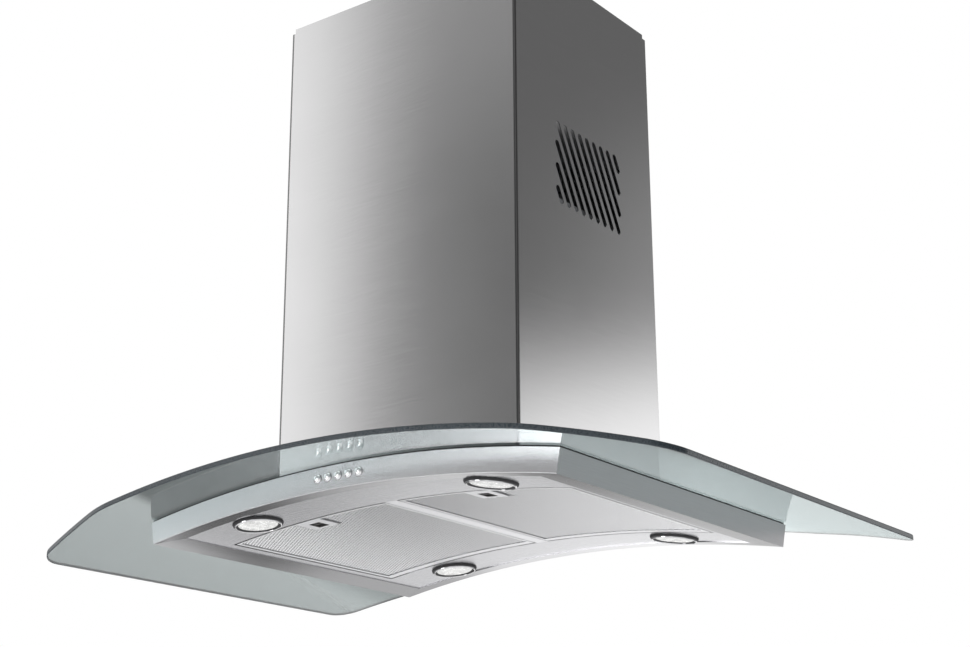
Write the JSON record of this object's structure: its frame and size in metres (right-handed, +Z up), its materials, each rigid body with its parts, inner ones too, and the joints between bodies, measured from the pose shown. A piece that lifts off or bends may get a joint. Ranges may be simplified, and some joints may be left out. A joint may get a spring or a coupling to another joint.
{
  "type": "curved glass range hood",
  "caption": "Ceiling-hung range hood: curved glass canopy over a bent stainless body, tall rectangular telescopic chimney, push buttons, round lamps, grease filters.",
  "frame": {"origin": "centre of the ceiling plate, on the face that is bolted to the ceiling", "axes": "+Z up into the ceiling, X along the long side of the glass, the push buttons face -Y"},
  "size_m": [0.9, 0.64, 0.6938],
  "materials": {
    "brushed_stainless": "fine horizontal brushing",
    "panel_stainless": "fine brushing",
    "galvanised_steel": "zinc-coated, dull spangle",
    "screw_steel": "turned, zinc-plated",
    "tinted_glass": "clear toughened glass, green-grey in the edge",
    "black_rubber": "matt",
    "chrome_trim": "polished",
    "lamp_glass": "lightly frosted",
    "bright_aluminium": "satin",
    "filter_mesh": "expanded mesh",
    "latch_black": "moulded, matt",
    "motor_paint": "satin black",
    "fan_plastic": "moulded",
    "box_grey": "moulded grey"
  },
  "bodies": {
    "ceiling_unit": {"ceiling_plate": "galvanised_steel", "upper_posts": "galvanised_steel", "upper_front_cover": "brushed_stainless", "upper_rear_cover": "brushed_stainless", "upper_screws": "screw_steel"},
    "hood_unit": {"blower_box": "galvanised_steel", "blower_box_cover": "galvanised_steel", "blower_box_screws": "screw_steel", "blower_motor": "motor_paint", "blower_plate": "galvanised_steel", "body_top_plate": "galvanised_steel", "cable_gland": "latch_black", "canopy_gasket": "black_rubber", "clamp_pads": "black_rubber", "cover_screws": "screw_steel", "filter_divider": "brushed_stainless", "front_fascia": "brushed_stainless", "glass_canopy": "tinted_glass", "glass_clamps": "galvanised_steel", "lamp_capsules": "lamp_glass", "lamp_lens_front_left": "lamp_glass", "lamp_lens_front_right": "lamp_glass", "lamp_lens_rear_left": "lamp_glass", "lamp_lens_rear_right": "lamp_glass", "lamp_reflectors": "bright_aluminium", "lamp_ring_front_left": "chrome_trim", "lamp_ring_front_right": "chrome_trim", "lamp_ring_rear_left": "chrome_trim", "lamp_ring_rear_right": "chrome_trim", "lamp_transformer": "box_grey", "left_end_plate": "brushed_stainless", "lower_front_cover": "brushed_stainless", "lower_posts": "galvanised_steel", "lower_rear_cover": "brushed_stainless", "motor_bracket": "galvanised_steel", "outlet_collar": "galvanised_steel", "plenum_tower": "galvanised_steel", "rear_fascia": "brushed_stainless", "right_end_plate": "brushed_stainless", "run_capacitor": "bright_aluminium", "scroll_left_half": "galvanised_steel", "scroll_right_half": "galvanised_steel", "switch_block": "latch_black", "terminal_box": "box_grey", "underside_panel": "panel_stainless"},
    "fan_wheel": {"impeller": "fan_plastic", "motor_shaft": "screw_steel"},
    "flap_left_body": {"flap_left": "bright_aluminium"},
    "flap_right_body": {"flap_right": "bright_aluminium"},
    "left_filter": {"left_filter_frame": "bright_aluminium", "left_filter_mesh": "filter_mesh"},
    "left_latch": {"left_filter_latch": "latch_black"},
    "right_filter": {"right_filter_frame": "bright_aluminium", "right_filter_mesh": "filter_mesh"},
    "right_latch": {"right_filter_latch": "latch_black"},
    "button_1_body": {"button_1": "chrome_trim"},
    "button_2_body": {"button_2": "chrome_trim"},
    "button_3_body": {"button_3": "chrome_trim"},
    "button_4_body": {"button_4": "chrome_trim"},
    "button_5_body": {"button_5": "chrome_trim"}
  },
  "joints": [
    {"name": "height_adjustment", "type": "slide", "parent": "ceiling_unit", "child": "hood_unit", "axis": [0, 0, -1], "range_m": [0, 0.15]},
    {"name": "fan_spin", "type": "hinge", "parent": "hood_unit", "child": "fan_wheel", "pos_m": [0, 0.006, -0.478], "axis": [1, 0, 0], "continuous": true},
    {"name": "flap_left_lift", "type": "hinge", "parent": "hood_unit", "child": "flap_left_body", "pos_m": [-0.0045, 0, -0.2645], "axis": [0, 1, 0], "range_deg": [0, 80]},
    {"name": "flap_right_lift", "type": "hinge", "parent": "hood_unit", "child": "flap_right_body", "pos_m": [0.0045, 0, -0.2645], "axis": [0, -1, 0], "range_deg": [0, 80]},
    {"name": "left_filter_tilt", "type": "hinge", "parent": "hood_unit", "child": "left_filter", "pos_m": [-0.1275, 0.149, -0.66392], "axis": [0.9968, 0, 0.0801], "range_deg": [0, 22]},
    {"name": "right_filter_tilt", "type": "hinge", "parent": "hood_unit", "child": "right_filter", "pos_m": [0.1275, 0.149, -0.66392], "axis": [0.9968, 0, -0.0801], "range_deg": [0, 22]},
    {"name": "left_latch_slide", "type": "slide", "parent": "left_filter", "child": "left_latch", "axis": [0, 1, 0], "range_m": [0, 0.006], "stiffness_N_per_m": 250, "springref_m": -0.002},
    {"name": "right_latch_slide", "type": "slide", "parent": "right_filter", "child": "right_latch", "axis": [0, 1, 0], "range_m": [0, 0.006], "stiffness_N_per_m": 250, "springref_m": -0.002},
    {"name": "button_1_press", "type": "slide", "parent": "hood_unit", "child": "button_1_body", "axis": [0, 1, 0], "range_m": [0, 0.0025], "stiffness_N_per_m": 400, "springref_m": -0.0015},
    {"name": "button_2_press", "type": "slide", "parent": "hood_unit", "child": "button_2_body", "axis": [0, 1, 0], "range_m": [0, 0.0025], "stiffness_N_per_m": 400, "springref_m": -0.0015},
    {"name": "button_3_press", "type": "slide", "parent": "hood_unit", "child": "button_3_body", "axis": [0, 1, 0], "range_m": [0, 0.0025], "stiffness_N_per_m": 400, "springref_m": -0.0015},
    {"name": "button_4_press", "type": "slide", "parent": "hood_unit", "child": "button_4_body", "axis": [0, 1, 0], "range_m": [0, 0.0025], "stiffness_N_per_m": 400, "springref_m": -0.0015},
    {"name": "button_5_press", "type": "slide", "parent": "hood_unit", "child": "button_5_body", "axis": [0, 1, 0], "range_m": [0, 0.0025], "stiffness_N_per_m": 400, "springref_m": -0.0015}
  ]
}
